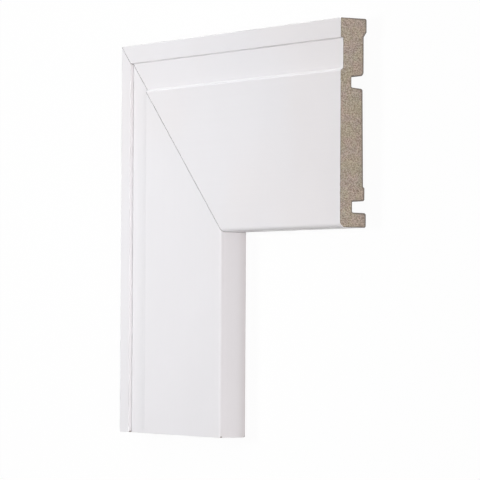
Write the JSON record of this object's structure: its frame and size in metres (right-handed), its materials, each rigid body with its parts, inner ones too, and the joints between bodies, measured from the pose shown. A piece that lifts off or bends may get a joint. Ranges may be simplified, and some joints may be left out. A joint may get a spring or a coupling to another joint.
{
  "type": "architrave moulding corner",
  "caption": "Mitred corner of a white-coated foam architrave with a stepped flat face, a rounded inner edge and a grooved back, for framing a door opening.",
  "frame": {"origin": "middle of the sample's footprint, on the plane of the back pads", "axes": "+Z out of the decorated face, +X along the head towards its cut end, +Y along the leg towards the outer corner; the sample lies on its back"},
  "size_m": [0.205, 0.2036, 0.015],
  "materials": {
    "coated_foam": "satin white coat over extruded foam; grey-brown foam bare on the cut ends"
  },
  "bodies": {
    "root": {"head_piece": "coated_foam", "leg_piece": "coated_foam"}
  },
  "joints": []
}
